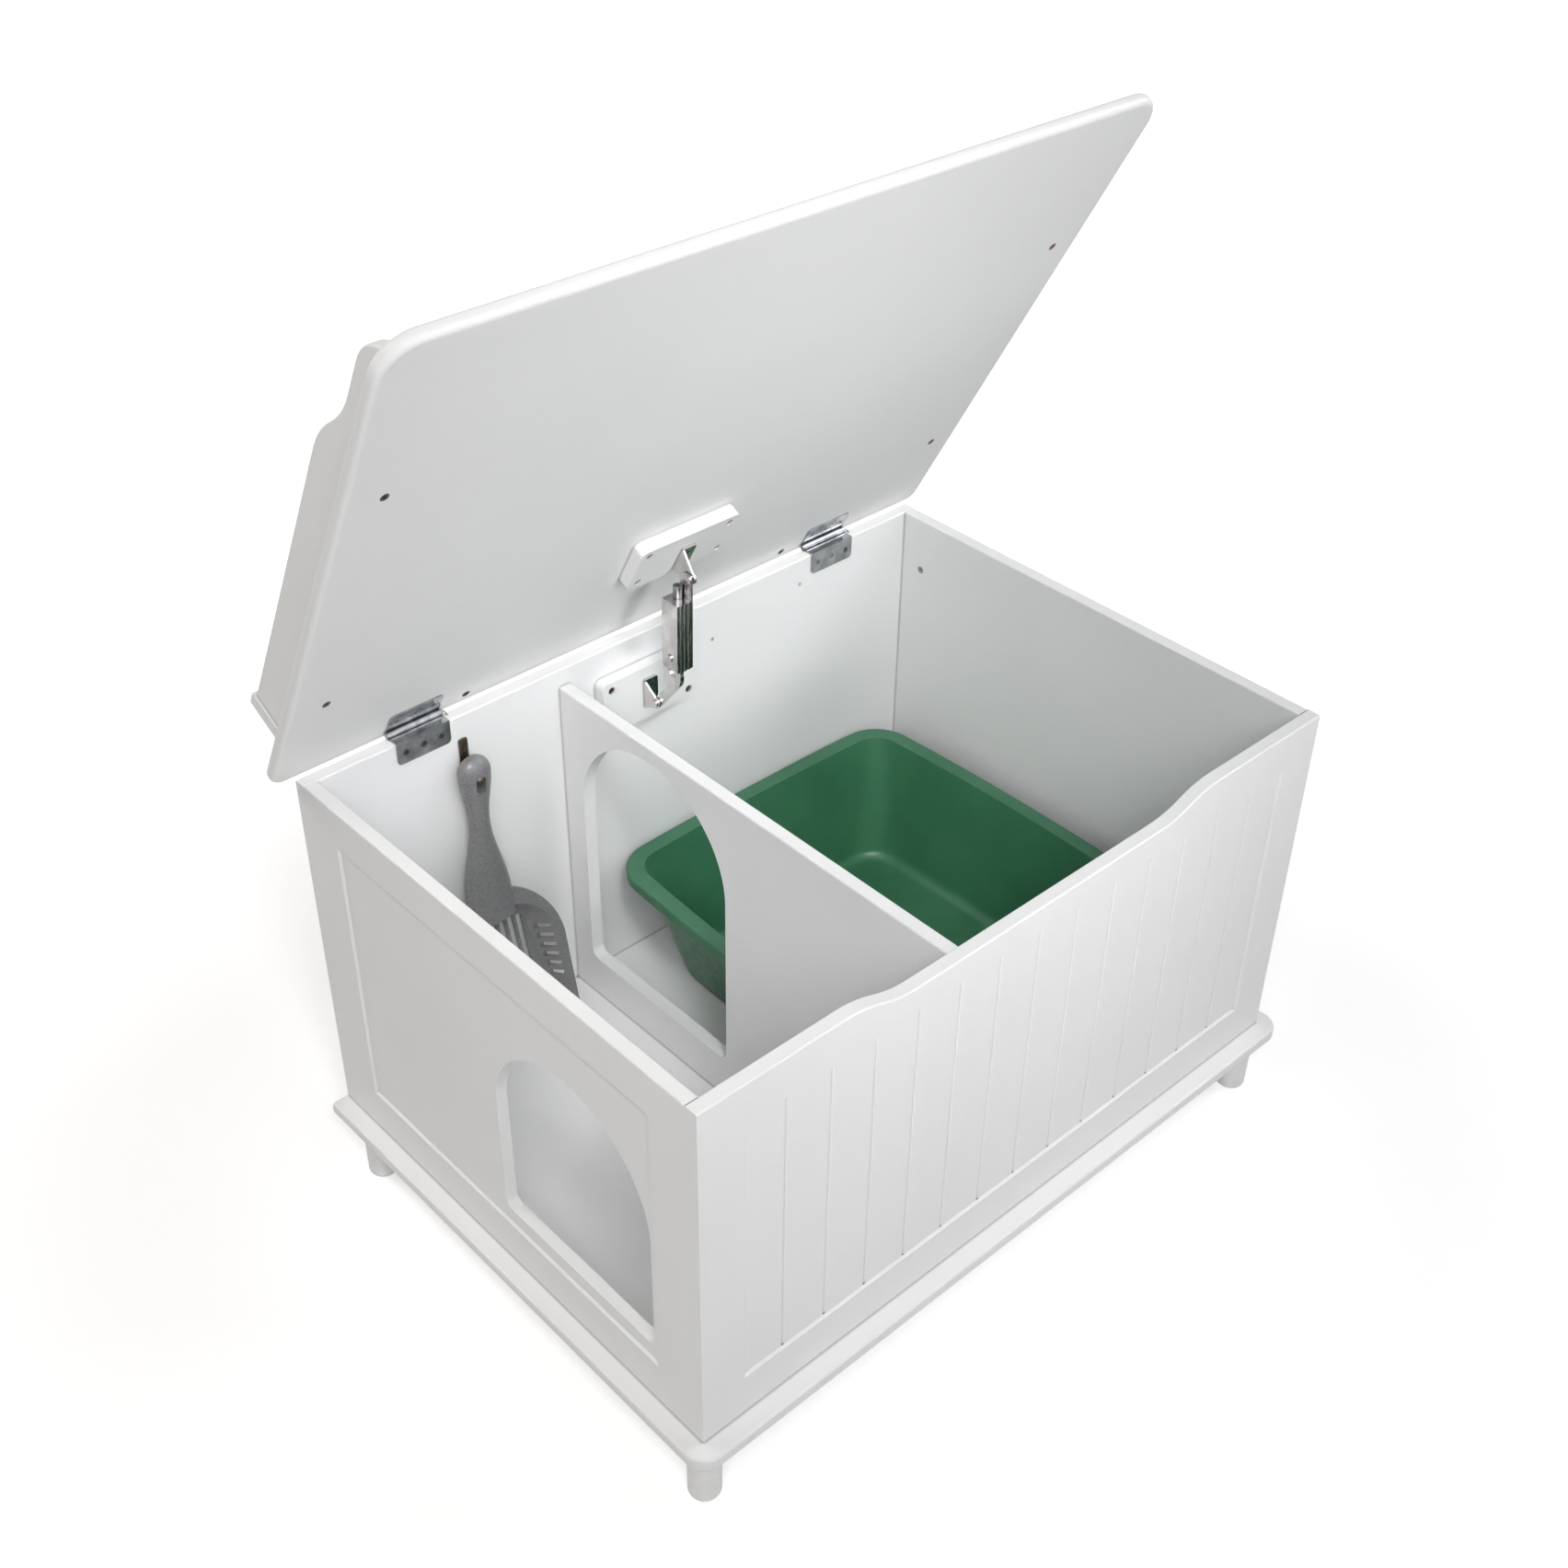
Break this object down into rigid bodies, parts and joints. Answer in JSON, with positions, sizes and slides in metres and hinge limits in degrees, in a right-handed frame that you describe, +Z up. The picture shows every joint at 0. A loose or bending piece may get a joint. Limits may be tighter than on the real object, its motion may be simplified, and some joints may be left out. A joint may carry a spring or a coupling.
{
  "type": "cat litter box cabinet",
  "caption": "Low panelled cabinet for a cat litter pan: arched side entry, inner divider with a doorway, and a hinged, railed lid held up by a folding stay.",
  "frame": {"origin": "on the floor, under the middle of the whole with its lid open", "axes": "+Z up; -Y towards the front panel with the recessed grooved field; +Y towards the rear panel that carries the hinges; -X towards the side with the arched cat door; the lid stands open at rest"},
  "size_m": [0.696, 0.5526, 0.8271],
  "materials": {
    "bronze_strap": "dark bronze",
    "green_plastic": "satin moulded plastic",
    "grey_foot": "satin",
    "grey_plastic": "satin moulded plastic with a slight sheen",
    "hinge_zinc": "bright zinc",
    "screw_zinc": "bright zinc",
    "stay_zinc": "bright zinc, softly polished",
    "white_paint": "painted board, satin, very slight orange peel"
  },
  "bodies": {
    "cabinet": {"base_plate": "white_paint", "foot_front_left": "grey_foot", "foot_front_right": "grey_foot", "foot_rear_left": "grey_foot", "foot_rear_right": "grey_foot", "front_panel": "white_paint", "rear_panel": "white_paint", "left_panel": "white_paint", "right_panel": "white_paint", "divider": "white_paint", "right_panel_screw": "screw_zinc", "hinge_left_wall_leaf": "hinge_zinc", "hinge_right_wall_leaf": "hinge_zinc", "hinge_left_pin": "hinge_zinc", "hinge_right_pin": "hinge_zinc", "hinge_wall_screws": "hinge_zinc", "wall_block": "white_paint", "wall_block_screws": "screw_zinc", "wall_bracket": "stay_zinc", "wall_bracket_screw": "screw_zinc", "wall_pivot_rivet": "stay_zinc", "scoop_hanger": "bronze_strap", "scoop_hanger_screws": "bronze_strap"},
    "lid": {"lid_board": "white_paint", "lid_rail_left": "white_paint", "lid_rail_right": "white_paint", "lid_rail_back": "white_paint", "lid_rail_screws": "screw_zinc", "hinge_left_lid_leaf": "hinge_zinc", "hinge_right_lid_leaf": "hinge_zinc", "hinge_lid_screws": "hinge_zinc", "lid_block": "white_paint", "lid_block_screws": "screw_zinc", "lid_bracket": "stay_zinc", "lid_bracket_screw": "screw_zinc", "lid_pivot_rivet": "stay_zinc"},
    "stay": {"stay_housing": "stay_zinc", "stay_adjuster": "stay_zinc", "stay_lid_rivet": "stay_zinc", "stay_elbow_rivet": "stay_zinc"},
    "stay_arm": {"stay_arm": "stay_zinc"},
    "pan": {"litter_pan": "green_plastic"},
    "scoop": {"scoop": "grey_plastic"}
  },
  "joints": [
    {"name": "lid_hinge", "type": "hinge", "parent": "cabinet", "child": "lid", "pos_m": [0, 0.2097, 0.3918], "axis": [1, 0, 0], "range_deg": [0, 62.23]},
    {"name": "stay_fold", "type": "hinge", "parent": "stay_arm", "child": "stay", "pos_m": [0, 0.14372, 0.39601], "axis": [1, 0, 0], "range_deg": [-103.1, 0]},
    {"name": "arm_fold", "type": "hinge", "parent": "cabinet", "child": "stay_arm", "pos_m": [0, 0.1712, 0.3346], "axis": [1, 0, 0], "range_deg": [0, 108.02]},
    {"name": "pan_lift", "type": "slide", "parent": "cabinet", "child": "pan", "axis": [0, 0, 1], "range_m": [0, 0.09]},
    {"name": "scoop_off_peg", "type": "slide", "parent": "cabinet", "child": "scoop", "axis": [0, -1, 0], "range_m": [0, 0.04]}
  ],
  "couplings": [
    {"joint": "stay_fold", "follows": "lid_hinge", "ratio": -1.6565},
    {"joint": "arm_fold", "follows": "lid_hinge", "ratio": 1.7355}
  ]
}
